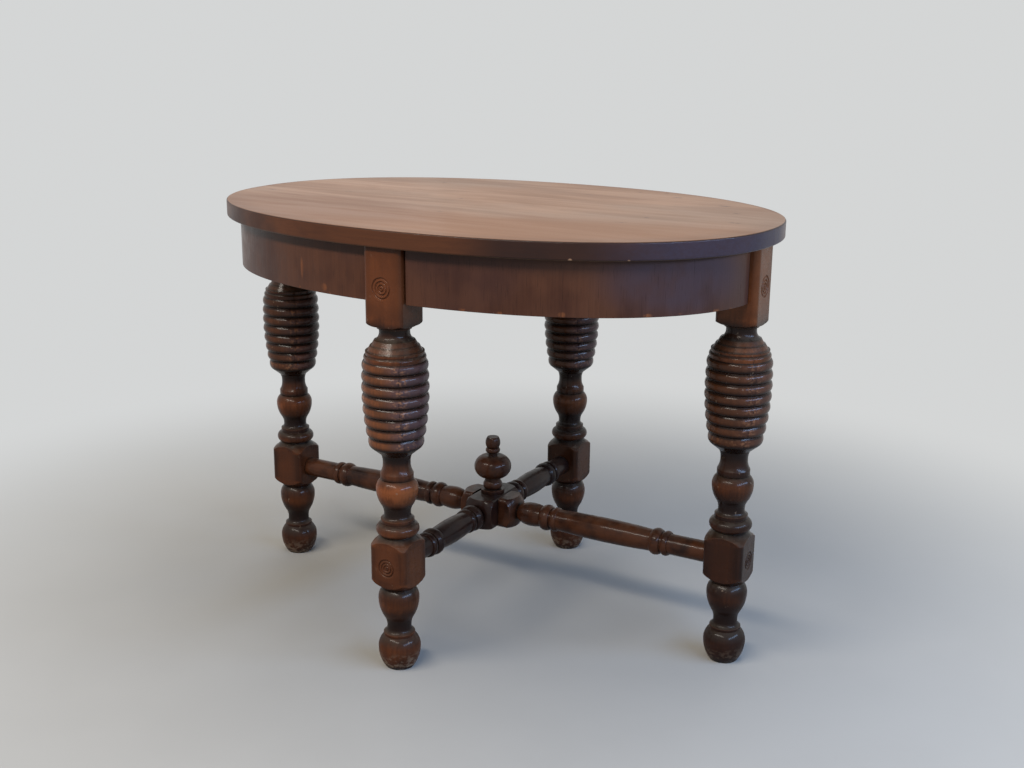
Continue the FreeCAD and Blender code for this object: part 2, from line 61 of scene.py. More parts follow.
# How far up a surface faces where dust begins to lie on it and where it lies in full.
dusty_slope = (0.12, 0.75)
# Heights of the rings, the rise of one, and the shares of that rise where its worn crest comes and goes. The
# crest sits high in each ring, so its lower flank is painted dark as shade.
ring_start = 0.2920
ring_end = 0.4008
ring_pitch = 0.0136
crest_comes = (0.08, 0.50)
crest_goes = (0.98, 0.74)
# Heights of the swelling, how far the stock inside its cheeks reaches, and how far from there the
# blur of the seam, its dark line and the chafed wood go.
swelling = (0.2825, 0.4110)
cheek_reach = 0.0260
seam_blur = 0.0004
seam_line = (0.0007, 0.0002)
chafed_strip = (0.011, 0.002)
# Distances to one side of the axis between which the bluish reflection painted on the rings comes in.
painted_sheen_side = (0.004, 0.032)
# The square blocks, where the stain is more even: heights of the lower one, heights over which the
# upper one begins, and the height over which one finish passes into the next.
lower_square = (0.120, 0.166)
upper_square = (0.450, 0.458)
zone_blend = 0.004
# Distances from the axis between which the stain of the blocks darkens towards their corners, then the
# heights between which that weakens, and how deep it is below and above them.
corner_stain = (0.008, 0.022)
corner_fading = (0.17, 0.20, 0.75, 0.20)
# Heights at which the scuffs on the foot and its dullness have gone, and at which they are full.
scuffed_foot = (0.030, 0.006)
dull_foot = (0.115, 0.045)
# Tones over which the dark stain turns brown, and over which the brown wears to a warmer colour.
brown_tones = (0.0, 0.52)
worn_tones = (0.40, 1.0)
# Least and most that patches, streaks and bands make of the stain, and what the blocks keep of that.
patch_range = (0.72, 1.14)
streak_range = (0.86, 1.12)
band_range = (0.93, 1.06)
block_unevenness = 0.35
# How strongly each mark shows. Grooves, darkened by dirt and by painted shade, have two shares: on the
# turnings and on the upper block.
crest_share = 0.70
arris_share = 0.30
olive_share = 0.50
cheek_share = 0.25
seam_share = 0.50
groove_shares = (0.88, 0.15)
chafed_share = 0.90
nick_share = 0.50
scuff_share = 0.90
# How far round a groove the dirt and painted shade are looked for, and how far an arris is eased.
leg_relief = {"Reach": 0.006, "Ease": 0.0016}
# Depth of the grain that is felt through the varnish, and how glossy its coat is.
grain_depth = 0.0004
coat_weight = 0.18
coat_roughness = 0.13
# Least and most roughness of the varnish on the legs, and what dust, the foot and the rings add to it.
leg_roughness = (0.26, 0.38)
dust_roughness = 0.4
foot_roughness = 0.20
ring_roughness = -0.08


def feed(tree, node, inputs):
    """Sets inputs of a node, each to a plain value or to the output of another node."""
    for name, value in inputs.items():
        if isinstance(value, bpy.types.NodeSocket):
            tree.links.new(value, node.inputs[name])
        else:
            node.inputs[name].default_value = value


def shader_node(tree, kind, inputs=None, **settings):
    """One node of a shader tree, with its settings and its inputs."""
    node = tree.nodes.new("ShaderNode" + kind)
    for name, value in settings.items():
        setattr(node, name, value)
    feed(tree, node, inputs or {})
    return node


def maths(tree, operation, first, second=0.0):
    """Result of one sum on two values."""
    return shader_node(tree, "Math", {0: first, 1: second}, operation=operation).outputs[0]


def chained(tree, operation, values):
    """Result of the same sum on several values, from the first to the last."""
    result = values[0]
    for value in values[1:]:
        result = maths(tree, operation, result, value)
    return result


def times(tree, *values):
    """Product of several values."""
    return chained(tree, "MULTIPLY", values)


def total(tree, *values):
    """Sum of several values."""
    return chained(tree, "ADD", values)


def greatest(tree, *values):
    """Largest of several values."""
    return chained(tree, "MAXIMUM", values)


def weighted(tree, *pairs):
    """Sum of several values, each times its weight."""
    return total(tree, *(times(tree, value, weight) for value, weight in pairs))


def between(tree, value, start, end, low=0.0, high=1.0):
    """Smooth step of a value: low at the start, high at the end. The end may lie below the start."""
    if start > end:
        start, end, low, high = end, start, high, low
    inputs = {"Value": value, "From Min": start, "From Max": end, "To Min": low, "To Max": high}
    return shader_node(tree, "MapRange", inputs, interpolation_type="SMOOTHSTEP").outputs[0]


def spread(tree, share, low, high):
    """Smooth step from a low to a high value as a share goes from 0 to 1."""
    return between(tree, share, 0.0, 1.0, low, high)


def within(tree, value, low, high, blend):
    """1 between two limits and 0 outside them, eased over a blend inside each."""
    return times(tree, between(tree, value, low, low + blend), between(tree, value, high, high - blend))


def blended(tree, first, second, *shares):
    """First colour with the second laid over it, as strongly as the product of the shares says."""
    node = shader_node(tree, "Mix", {0: times(tree, *shares)}, data_type="RGBA")
    for index, colour in ((6, first), (7, second)):
        is_link = isinstance(colour, bpy.types.NodeSocket)
        feed(tree, node, {index: colour if is_link else (*colour, 1.0)})
    return node.outputs[2]


def noise(tree, place, scale, detail=3.0, roughness=0.55, stretch=(1.0, 1.0, 1.0), distortion=0.0):
    """Soft noise about 0.5, with its scale in cycles a metre times the stretch on each axis."""
    size = tuple(scale * share for share in stretch)
    mapped = shader_node(tree, "Mapping", {"Vector": place, "Scale": size}).outputs[0]
    inputs = {
        "Vector": mapped, "Scale": 1.0, "Detail": detail, "Roughness": roughness, "Distortion": distortion,
    }
    return shader_node(tree, "TexNoise", inputs).outputs["Fac"]


def tone_along(tree, value, stops):
    """Tone that follows pairs of place and tone along a value, eased from each pair to the next."""
    first, last = stops[0][0], stops[-1][0]
    share = maths(tree, "DIVIDE", maths(tree, "SUBTRACT", value, first), last - first)
    node = shader_node(tree, "ValToRGB", {"Fac": share})
    node.color_ramp.interpolation = "EASE"
    scale = node.color_ramp.elements
    for index, (place, tone) in enumerate(stops):
        position = (place - first) / (last - first)
        stop = scale[index] if index < 2 else scale.new(position)
        stop.position = position
        stop.color = (tone, tone, tone, 1.0)
    return node.outputs["Color"]


def new_group(name, inputs, outputs):
    """Empty node group with named sockets, what it is given, and the node that takes its results."""
    tree = bpy.data.node_groups.new(name, "ShaderNodeTree")
    for in_out, sockets in (("INPUT", inputs), ("OUTPUT", outputs)):
        for label, kind in sockets.items():
            tree.interface.new_socket(name=label, in_out=in_out, socket_type="NodeSocket" + kind)
    return tree, tree.nodes.new("NodeGroupInput").outputs, tree.nodes.new("NodeGroupOutput")


def placed(tree, group, inputs):
    """Outputs of a node group placed in a material with its own values."""
    return shader_node(tree, "Group", inputs, node_tree=group).outputs


def wood_grain_group():
    """Grain along the third axis: broad bands of colour, fine streaks, and short dark pores."""
    outputs = {"Bands": "Float", "Streaks": "Float", "Pores": "Float"}
    tree, given, result = new_group("wood_grain", {"Vector": "Vector"}, outputs)
    place = given["Vector"]
    bands = noise(tree, place, 38.0, roughness=0.5, stretch=(1.0, 1.0, 0.07), distortion=0.4)
    streaks = noise(tree, place, 260.0, detail=5.0, roughness=0.65, stretch=(1.0, 1.0, 0.035), distortion=0.2)
    pores = noise(tree, place, 900.0, detail=2.0, roughness=0.5, stretch=(1.0, 1.0, 0.05))
    feed(tree, result, {
        "Bands": between(tree, bands, 0.32, 0.68),
        "Streaks": between(tree, streaks, 0.3, 0.7),
        "Pores": between(tree, pores, 0.6, 0.72),
    })
    return tree


def age_marks_group():
    """Marks of age on every finish here: broad worn patches, mottling, and small nicks."""
    outputs = {"Patches": "Float", "Mottle": "Float", "Nicks": "Float"}
    tree, given, result = new_group("age_marks", {"Vector": "Vector"}, outputs)
    place = given["Vector"]
    patches = noise(tree, place, 26.0, detail=4.0, roughness=0.6)
    mottle = noise(tree, place, 95.0, detail=4.0, roughness=0.6)
    nicks = noise(tree, place, 190.0, detail=2.0, roughness=0.4, stretch=(1.0, 1.0, 0.6))
    feed(tree, result, {
        "Patches": between(tree, patches, 0.36, 0.66),
        "Mottle": between(tree, mottle, 0.3, 0.7),
        "Nicks": between(tree, nicks, 0.71, 0.77),
    })
    return tree


def relief_group():
    """Where a surface is hollow, where its arrises are, how far it faces up, and its eased normal."""
    outputs = {"Hollow": "Float", "Arris": "Float", "Upward": "Float", "Eased": "Vector"}
    tree, given, result = new_group("relief", {"Reach": "Float", "Ease": "Float"}, outputs)
    opening = shader_node(tree, "AmbientOcclusion", {"Distance": given["Reach"]}, samples=12).outputs["AO"]
    eased = shader_node(tree, "Bevel", {"Radius": given["Ease"]}, samples=6).outputs["Normal"]
    normal = shader_node(tree, "NewGeometry").outputs["Normal"]
    agreement = shader_node(tree, "VectorMath", {0: eased, 1: normal}, operation="DOT_PRODUCT")
    feed(tree, result, {
        "Hollow": between(tree, opening, 0.80, 0.32),
        "Arris": between(tree, agreement.outputs["Value"], 0.995, 0.90),
        "Upward": shader_node(tree, "SeparateXYZ", {"Vector": eased}).outputs["Z"],
        "Eased": eased,
    })
    return tree


wood_grain = wood_grain_group()
age_marks = age_marks_group()
relief = relief_group()


def new_finish(name):
    """New material with its tree, its Principled shader and the object's own coordinates."""
    material = bpy.data.materials.new(name)
    material.use_nodes = True
    tree = material.node_tree
    place = shader_node(tree, "TexCoord").outputs["Object"]
    return material, tree, tree.nodes["Principled BSDF"], place


def varnish(tree, shader, colour, roughness, height, normal, bump_strength, sheen_level):
    """Old thin varnish: the colour, a dull gloss that varies, and the grain felt through it."""
    felt = {"Strength": bump_strength, "Distance": grain_depth, "Height": height, "Normal": normal}
    feed(tree, shader, {
        "Base Color": colour,
        "Roughness": roughness,
        "Normal": shader_node(tree, "Bump", felt).outputs[0],
        "Specular IOR Level": sheen_level,
        "Coat Weight": coat_weight,
        "Coat Roughness": coat_roughness,
    })


def leg_finish(name, axis, seam_side, low_wear, ring_wear, high_wear, ring_sheen):
    """Dark varnished wood of one leg: worn bellies, grooves black with dirt and painted shade, rings painted
    dark below as shade and bluish on one side as a painted reflection, dusty shoulders, a scuffed foot.
    """
    material, tree, shader, place = new_finish(name)
    centred = {0: place, 1: (axis.x, axis.y, 0.0)}
    local = shader_node(tree, "VectorMath", centred, operation="SUBTRACT").outputs[0]
    parts = shader_node(tree, "SeparateXYZ", {"Vector": local}).outputs
    height = parts["Z"]
    grain = placed(tree, wood_grain, {"Vector": place})
    age = placed(tree, age_marks, {"Vector": place})
    form = placed(tree, relief, leg_relief)

    # How worn the turnings are below the rings, on them and above them, with the lower flank of each ring
    # painted dark as shade
    turn = maths(tree, "DIVIDE", maths(tree, "SUBTRACT", height, ring_start), ring_pitch)
    way_up = maths(tree, "FRACT", turn)
    # The lower flank of each ring is left dark: painted shade.
    crest = times(tree, between(tree, way_up, *crest_comes), between(tree, way_up, *crest_goes))
    above_cup = maths(tree, "GREATER_THAN", height, ring_start)
    above_rings = maths(tree, "GREATER_THAN", height, ring_end)
    below_cup = maths(tree, "SUBTRACT", 1.0, above_cup)
    on_rings = maths(tree, "SUBTRACT", above_cup, above_rings)
    low_tone = times(tree, tone_along(tree, height, leg_tones), below_cup, low_wear)
    ring_tone = times(tree, crest, on_rings, crest_share * ring_wear)
    high_tone = times(tree, tone_along(tree, height, collar_tones), above_rings, high_wear)

    # How uneven the stain is, less so on the blocks, which are darker by their corners
    uneven = times(
        tree,
        spread(tree, age["Patches"], *patch_range),
        spread(tree, grain["Streaks"], *streak_range),
        spread(tree, grain["Bands"], *band_range),
    )
    in_lower_block = within(tree, height, *lower_square, zone_blend)
    squared = greatest(tree, in_lower_block, between(tree, height, *upper_square))
    kept = spread(tree, squared, 1.0, block_unevenness)
    damped = times(tree, maths(tree, "SUBTRACT", uneven, 1.0), kept)
    off_axis = [maths(tree, "ABSOLUTE", parts[side]) for side in ("X", "Y")]
    near_corner = times(tree, *(between(tree, away, *corner_stain) for away in off_axis))
    streaked = spread(tree, grain["Streaks"], 0.25, 0.75)
    darkened = times(tree, near_corner, streaked, between(tree, height, *corner_fading), squared)
    stain = maths(tree, "SUBTRACT", total(tree, damped, 1.0), darkened)
    tone = times(tree, total(tree, low_tone, ring_tone, high_tone), stain)
    colour = blended(tree, leg_dark, leg_brown, between(tree, tone, *brown_tones))
    colour = blended(tree, colour, leg_worn, between(tree, tone, *worn_tones))
    colour = blended(tree, colour, leg_worn, form["Arris"], arris_share * ring_wear)

    # Painted bluish reflection and seams of the swelling, and dirt with painted shade in its grooves and the
    # others
    in_swelling = within(tree, height, *swelling, zone_blend)
    colour = blended(tree, colour, ring_olive, ring_tone, olive_share)
    on_sheen_side = between(tree, parts["X"], *painted_sheen_side)
    # Bluish reflection of the window light, painted on the side of the rings that faces it.
    colour = blended(tree, colour, ring_painted_sheen, on_sheen_side, ring_tone, ring_sheen)
    side = maths(tree, "ABSOLUTE", parts[seam_side])
    cheek = between(tree, side, cheek_reach - seam_blur, cheek_reach + seam_blur)
    colour = blended(tree, colour, leg_dark, cheek, in_swelling, cheek_share)
    off_seam = maths(tree, "ABSOLUTE", maths(tree, "SUBTRACT", side, cheek_reach))
    seam = times(tree, between(tree, off_seam, *seam_line), in_swelling)
    # Hollows, where light is blocked, are darkened by dirt and by painted shade.
    dirt_and_shade_depth = times(tree, form["Hollow"], between(tree, height, *upper_square, *groove_shares))
    grime_and_shade = greatest(tree, times(tree, seam, seam_share), dirt_and_shade_depth)
    colour = blended(tree, colour, grime_and_shade_black, grime_and_shade)

    # Chafed wood by the seams, nicks, scuffs on the foot, and dust
    chafing = noise(tree, place, 210.0, roughness=0.6, stretch=(1.0, 1.0, 1.4))
    by_seam = times(tree, between(tree, off_seam, *chafed_strip), in_swelling, ring_tone)
    colour = blended(tree, colour, leg_chafed, between(tree, chafing, 0.50, 0.62), by_seam, chafed_share)
    in_the_open = between(tree, grime_and_shade, 0.3, 0.0)
    nicked = times(tree, age["Nicks"], in_the_open, spread(tree, squared, 1.0, 0.2))
    colour = blended(tree, colour, leg_scuff, nicked, nick_share)
    scuffs = noise(tree, place, 120.0, detail=5.0, roughness=0.65, stretch=(1.0, 1.0, 1.6))
    scuffed = times(tree, between(tree, scuffs, 0.47, 0.60), between(tree, height, *scuffed_foot))
    colour = blended(tree, colour, leg_scuff, scuffed, scuff_share * low_wear)
    settled = times(tree, tone_along(tree, height, leg_dust), between(tree, form["Upward"], *dusty_slope))
    dusty = times(tree, settled, spread(tree, age["Mottle"], 0.30, 0.80))
    colour = blended(tree, colour, dust_olive, dusty)

    # Gloss, duller on the foot and under dust and brighter on the rings, and what the hand would feel
    roughness = total(
        tree,
        spread(tree, age["Mottle"], *leg_roughness),
        times(tree, dusty, dust_roughness),
        between(tree, height, *dull_foot, 0.0, foot_roughness),
        times(tree, in_swelling, ring_roughness),
    )
    tool_marks = noise(tree, local, 620.0, detail=2.0, roughness=0.5, stretch=(0.02, 0.02, 1.0))
    ridges = weighted(tree, (grain["Streaks"], 0.4), (tool_marks, 0.5))
    felt = maths(tree, "SUBTRACT", ridges, total(tree, grain["Pores"], nicked, scuffed))
    varnish(tree, shader, colour, roughness, felt, form["Eased"], bump_strength=0.25, sheen_level=0.09)
    return material


def paint(node_name, material):
    """Gives a solid of the frame its finish."""
    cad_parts[node_name].data.materials[0] = material


# Each leg, the side its seams face, how worn its lower turnings, its rings and its top are, and how
# strongly a bluish reflection is painted on its rings.
for leg_name, seam_side, *wear in (
    ("leg_front", "X", 0.98, 1.05, 1.12, 0.90), ("leg_right", "Y", 0.36, 0.66, 1.40, 0.25),
    ("leg_back", "X", 0.72, 0.76, 0.80, 0.90), ("leg_left", "Y", 0.68, 0.70, 0.80, 0.90),
):
    leg_low, leg_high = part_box(leg_name)
    paint(leg_name, leg_finish(leg_name + "_finish", (leg_low + leg_high) / 2, seam_side, *wear))


# Stretchers and finial
# Two turned rails that cross in a halved lap between the legs, and a turned finial that stands on the
# crossing with its tenon through the lap. The same wood as the legs, kept darker by years of polish.

stretcher_dark = (0.0105, 0.0052, 0.0050)
stretcher_brown = (0.0620, 0.0200, 0.0090)
stretcher_worn = (0.1800, 0.0580, 0.0210)
stretcher_relief = {"Reach": 0.009, "Ease": 0.0016}
# How far up a surface faces where dust begins to lie on it and where it lies in full.
stretcher_dusty_slope = (0.6, 0.98)
# How strongly worn patches, worn arrises and grooves darkened by dirt and painted shade show.
patch_share = 0.40
stretcher_arris_share = 0.25
stretcher_groove_share = 0.92
# Least and most roughness of the varnish, and what dust adds to it.
stretcher_roughness = (0.28, 0.42)
stretcher_dust_roughness = 0.3


def grain_along(tree, place, axis):
    """Coordinates turned so that the third axis runs along the grain."""
    parts = shader_node(tree, "SeparateXYZ", {"Vector": place}).outputs
    order = {"X": (1, 2, 0), "Y": (2, 0, 1), "Z": (0, 1, 2)}[axis]
    return shader_node(tree, "CombineXYZ", {i: parts[source] for i, source in enumerate(order)}).outputs[0]


def stretcher_finish(name, axis, wear):
    """Nearly black brown with red-brown lights, worn on the crests and black in the grooves."""
    material, tree, shader, place = new_finish(name)
    grain = placed(tree, wood_grain, {"Vector": grain_along(tree, place, axis)})
    age = placed(tree, age_marks, {"Vector": place})
    form = placed(tree, relief, stretcher_relief)
    figure = weighted(tree, (grain["Bands"], 0.40), (grain["Streaks"], 0.30))
    colour = blended(tree, stretcher_dark, stretcher_brown, figure, wear)
    worn = weighted(tree, (age["Patches"], patch_share * wear), (form["Arris"], stretcher_arris_share))
    colour = blended(tree, colour, stretcher_worn, worn)
    # Dirt and painted shade in the hollows.
    colour = blended(tree, colour, grime_and_shade_black, form["Hollow"], stretcher_groove_share)
    facing_up = between(tree, form["Upward"], *stretcher_dusty_slope)
    dusty = times(tree, facing_up, spread(tree, age["Mottle"], 0.02, 0.16))
    colour = blended(tree, colour, dust_olive, dusty)
    mottled = spread(tree, age["Mottle"], *stretcher_roughness)
    roughness = total(tree, mottled, times(tree, dusty, stretcher_dust_roughness))
    felt = maths(tree, "SUBTRACT", times(tree, grain["Streaks"], 0.5), grain["Pores"])
    varnish(tree, shader, colour, roughness, felt, form["Eased"], bump_strength=0.2, sheen_level=0.09)
    return material


# Each piece, the axis that its grain runs along, and how worn it is.
for piece, axis, wear in (
    ("long_stretcher", "X", 1.0), ("short_stretcher", "Y", 0.22), ("finial", "Z", 0.7),
):
    paint(piece, stretcher_finish(piece + "_finish", axis, wear))


# Aprons
# Four curved rails tenoned into the leg blocks under the top. Their outer faces are veneered with the
# grain upright and stained dark, chipped along the lower edge. The inner faces were left bare.

apron_dark = (0.0560, 0.0180, 0.0100)
apron_brown = (0.1150, 0.0430, 0.0220)
apron_violet = (0.0560, 0.0280, 0.0280)
# Bluish reflection of the window light, painted on the front right apron.
apron_painted_sheen = (0.0680, 0.0440, 0.0540)
apron_streak = (0.3400, 0.1150, 0.0400)
bare_pale = (0.3000, 0.1900, 0.1050)
bare_brown = (0.1900, 0.1100, 0.0560)
apron_relief = {"Reach": 0.006, "Ease": 0.0010}
# The oval half-way through the rails, inside which they are bare: half length, half width, roundness.
rail_oval = (0.354, 0.2355, 2.18)
# Middle and half sizes of a place where a bluish reflection of the window light is painted on the varnish.
painted_sheen_patch = ((0.315, -0.125, 0.515), (0.120, 0.110, 0.060))
# Middle and half sizes of worn places on the veneer.
veneer_marks = (
    ((-0.1330, -0.2325, 0.4975), (0.0035, 0.0060, 0.0160)),
    ((-0.0946, -0.2394, 0.4790), (0.0070, 0.0060, 0.0060)),
    ((0.2118, -0.2074, 0.4745), (0.0060, 0.0060, 0.0040)),
    ((0.2932, -0.1567, 0.4735), (0.0070, 0.0070, 0.0030)),
)
# Heights above the lower edge at which its chips end, and up to which they are full.
chip_end = 0.004
chip_full = 0.0005
# How strongly haze, chips, pores, and grooves darkened by dirt and painted shade show.
haze_share = 0.40
chip_share = 0.6
pore_share = 0.35
apron_groove_share = 0.6
# Least and most roughness of the varnish.
apron_roughness = (0.28, 0.42)


def bare_wood_group():
    """Unfinished wood, sawn and darkened with age: its colour, how dull it is, and its saw marks."""
    outputs = {"Color": "Color", "Dullness": "Float", "Height": "Float"}
    tree, given, result = new_group("bare_wood", {"Vector": "Vector"}, outputs)
    grain = placed(tree, wood_grain, {"Vector": given["Vector"]})
    age = placed(tree, age_marks, {"Vector": given["Vector"]})
    figure = weighted(tree, (grain["Bands"], 0.5), (grain["Streaks"], 0.5))
    colour = blended(tree, bare_brown, bare_pale, figure)
    feed(tree, result, {
        "Color": blended(tree, colour, bare_brown, age["Mottle"], 0.3),
        "Dullness": spread(tree, age["Mottle"], 0.7, 0.9),
        "Height": grain["Streaks"],
    })
    return tree


bare_wood = bare_wood_group()


def spot(tree, place, centre, reach):
    """Soft spot: 1 within 0.4 of the reach from its centre, falling to 0 at the reach, on each axis."""
    away = shader_node(tree, "VectorMath", {0: place, 1: centre}, operation="SUBTRACT").outputs[0]
    share = shader_node(tree, "VectorMath", {0: away, 1: reach}, operation="DIVIDE").outputs[0]
    far = shader_node(tree, "VectorMath", {0: share}, operation="LENGTH").outputs["Value"]
    return between(tree, far, 1.0, 0.4)


def oval_share(tree, parts, oval):
    """How far out on an oval a place lies: 0 in the middle and 1 on its line."""
    half_length, half_width, roundness = oval
    shares = []
    for axis, half in (("X", half_length), ("Y", half_width)):
        way_out = maths(tree, "ABSOLUTE", maths(tree, "DIVIDE", parts[axis], half))
        shares.append(maths(tree, "POWER", way_out, roundness))
    return total(tree, *shares)


def apron_finish(name, low_edge):
    """Upright dark veneer with fine lines, a few orange marks and a chipped lower edge, bare inside."""
    material, tree, shader, place = new_finish(name)
    grain = placed(tree, wood_grain, {"Vector": place})
    age = placed(tree, age_marks, {"Vector": place})
    form = placed(tree, relief, apron_relief)
    parts = shader_node(tree, "SeparateXYZ", {"Vector": place}).outputs

    # Figure of the veneer, haze in its varnish, and a painted bluish reflection
    cloud = between(tree, noise(tree, place, 15.0, stretch=(1.0, 1.0, 0.7)), 0.39, 0.61)
    figure = weighted(tree, (grain["Bands"], 0.24), (grain["Streaks"], 0.22), (cloud, 0.54))
    colour = blended(tree, apron_dark, apron_brown, figure)
    haze = between(tree, noise(tree, place, 6.0, detail=2.0, roughness=0.5), 0.45, 0.62)
    colour = blended(tree, colour, apron_violet, haze, haze_share)
    sheen_strength = spread(tree, cloud, 0.45, 0.80)
    colour = blended(tree, colour, apron_painted_sheen, spot(tree, place, *painted_sheen_patch), sheen_strength)

    # Worn places, chips along the lower edge, pores, and dirt with painted shade in hollows and under the top
    marked = greatest(tree, *(spot(tree, place, *mark) for mark in veneer_marks))
    rubbed = times(tree, marked, spread(tree, grain["Streaks"], 0.10, 0.60))
    near_edge = between(tree, parts["Z"], low_edge + chip_end, low_edge + chip_full)
    broken = between(tree, noise(tree, place, 60.0, detail=2.0, roughness=0.5), 0.62, 0.70)
    chipped = times(tree, near_edge, broken, chip_share)
    colour = blended(tree, colour, apron_streak, greatest(tree, rubbed, chipped))
    colour = blended(tree, colour, leg_dark, grain["Pores"], pore_share)
    colour = blended(tree, colour, grime_and_shade_black, form["Hollow"], apron_groove_share)
    mottled = weighted(tree, (age["Patches"], 0.6), (grain["Streaks"], 0.4))
    roughness = spread(tree, mottled, *apron_roughness)
    dents = total(tree, grain["Pores"], chipped)
    felt = maths(tree, "SUBTRACT", times(tree, grain["Streaks"], 0.5), dents)

    # Bare wood on the inner side
    inside = between(tree, oval_share(tree, parts, rail_oval), 1.02, 0.98)
    bare = placed(tree, bare_wood, {"Vector": grain_along(tree, place, "X")})
    colour = blended(tree, colour, bare["Color"], inside)
    roughness = greatest(tree, roughness, times(tree, inside, bare["Dullness"]))
    varnish(tree, shader, colour, roughness, felt, form["Eased"], bump_strength=0.2, sheen_level=0.11)
    return material


apron_veneer = apron_finish("apron_veneer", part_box("apron_front_left")[0].z)
for piece in ("apron_front_left", "apron_front_right", "apron_back_left", "apron_back_right"):
    paint(piece, apron_veneer)


# Glue blocks, pegs and screws
# Plain secondary wood behind the aprons, never finished: blocks that stiffen the corners and take the
# screws that hold the top, and pegs through the tenons. The screws are old slotted steel.

steel_grey = (0.30, 0.29, 0.28)
steel_tarnish = (0.12, 0.09, 0.07)
saw_mark_strength = 0.3


def block_finish(name):
    """Bare wood all over, with its saw marks."""
    material, tree, shader, place = new_finish(name)
    bare = placed(tree, bare_wood, {"Vector": place})
    felt = {"Strength": saw_mark_strength, "Distance": grain_depth, "Height": bare["Height"]}
    bump = shader_node(tree, "Bump", felt).outputs[0]
    feed(tree, shader, {"Base Color": bare["Color"], "Roughness": bare["Dullness"], "Normal": bump})
    return material


def steel_finish(name):
    """Dull old steel with brown tarnish."""
    material, tree, shader, place = new_finish(name)
    tarnish = between(tree, noise(tree, place, 400.0), 0.4, 0.65)
    feed(tree, shader, {
        "Base Color": blended(tree, steel_grey, steel_tarnish, tarnish),
        "Roughness": spread(tree, tarnish, 0.4, 0.7),
        "Metallic": 1.0,
    })
    return material


block_wood = block_finish("bare_blocks")
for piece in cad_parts:
    if "block" in piece or piece == "tenon_pegs":
        paint(piece, block_wood)
paint("top_screws", steel_finish("old_steel"))


# Top
# One oval board of the same hardwood, its upper face faded and greyed by light and use, with the stain
# still dark round the edge and bare wood below. It is held by screws from below.

top_pale = (0.4150, 0.2080, 0.1040)
top_brown = (0.1950, 0.0900, 0.0430)
top_grey = (0.2750, 0.1780, 0.1200)
top_orange = (0.2780, 0.1140, 0.0410)
top_tan = (0.1950, 0.0720, 0.0220)
top_mark = (0.0500, 0.0260, 0.0170)
top_rim = (0.1100, 0.0440, 0.0190)
edge_orange = (0.1260, 0.0440, 0.0190)
edge_dark = (0.0500, 0.0190, 0.0120)
# Painted shade for the front of the edge.
edge_painted_shade = (0.0280, 0.0145, 0.0120)
edge_chip = (0.4200, 0.2300, 0.1300)
# Bluish reflection of the window light, painted on the right of the edge.
edge_painted_sheen = (0.0540, 0.0470, 0.0710)
arris_dark = (0.0330, 0.0150, 0.0100)
top_relief = {"Reach": 0.008, "Ease": 0.0012}
# The oval of the face: half length, half width, roundness.
top_oval = (0.381, 0.2625, 2.18)
# The warmer front of the face begins along a slanting line: the slant, the distances behind the middle
# where it begins and is full, and how far the line wavers.
front_slope = 0.27
warm_front = (-0.030, -0.100)
front_waver = 0.09
# Stain left by the rim, wide in front and narrow at the back: the shares of the oval between which it
# comes in, the distances behind the middle between which it does, and how strongly it shows.
rim_stains = (
    ((0.76, 0.98), (0.02, -0.10), 0.30),
    ((0.945, 0.985), (0.0, 0.08), 0.55),
)
# Middle and half sizes of the end of the face that has kept a warmer colour.
warm_end = ((-0.190, -0.150, 0.559), (0.270, 0.150, 0.100))
# Middle and half sizes of dark marks on the face.
face_marks = (
    ((0.060, 0.155), (0.009, 0.002)), ((0.107, 0.222), (0.006, 0.003)), ((0.327, 0.012), (0.010, 0.003)),
    ((-0.067, 0.025), (0.006, 0.002)), ((-0.020, -0.098), (0.008, 0.002)), ((0.210, -0.058), (0.012, 0.002)),
    ((0.220, -0.005), (0.006, 0.003)), ((-0.237, 0.002), (0.010, 0.002)), ((-0.167, 0.015), (0.005, 0.002)),
    ((-0.187, 0.169), (0.007, 0.003)), ((-0.340, -0.038), (0.008, 0.004)), ((0.176, 0.196), (0.010, 0.004)),
    ((0.262, 0.148), (0.012, 0.004)), ((0.146, 0.228), (0.006, 0.003)), ((0.300, 0.090), (0.007, 0.003)),
)
# Stretches of the edge, each with its middle, half sizes, colour and strength: one painted darker as shade,
# one in a warmer colour, and one with a painted bluish reflection of the window light.
edge_stretches = (
    ((0.170, -0.220, 0.550), (0.150, 0.120, 0.100), edge_painted_shade, 0.80),
    ((0.020, -0.258, 0.550), (0.150, 0.080, 0.100), edge_orange, 0.90),
    ((0.360, -0.080, 0.550), (0.190, 0.200, 0.100), edge_painted_sheen, 0.75),
)
# Middle and half sizes of nicks in the lower arris of the edge.
edge_nicks = (
    ((0.2267, -0.2195, 0.5390), (0.003, 0.003, 0.0022)),
    ((0.2821, -0.1875, 0.5385), (0.0022, 0.0022, 0.0018)),
)
# How far up the surface faces where the face turns into the edge, where the dark upper arris begins and
# ends, and where the underside begins.
face_to_edge = (0.97, 0.75)
arris_begins = (0.96, 0.84)
arris_ends = (0.20, 0.50)
edge_to_below = (-0.6, -0.9)
# How strongly these show: the warmer front and end of the face, its pores and marks, and on the edge
# its streaks, its dirt and painted shade in hollows, and its dark arris.
front_share = 0.58
warm_end_share = 0.60
face_pore_share = 0.30
mark_share = 0.75
edge_streak_share = 0.30
edge_dirt_and_shade_share = 0.8
dark_arris_share = 0.85
# Least and most roughness of the varnish.
top_roughness = (0.34, 0.44)


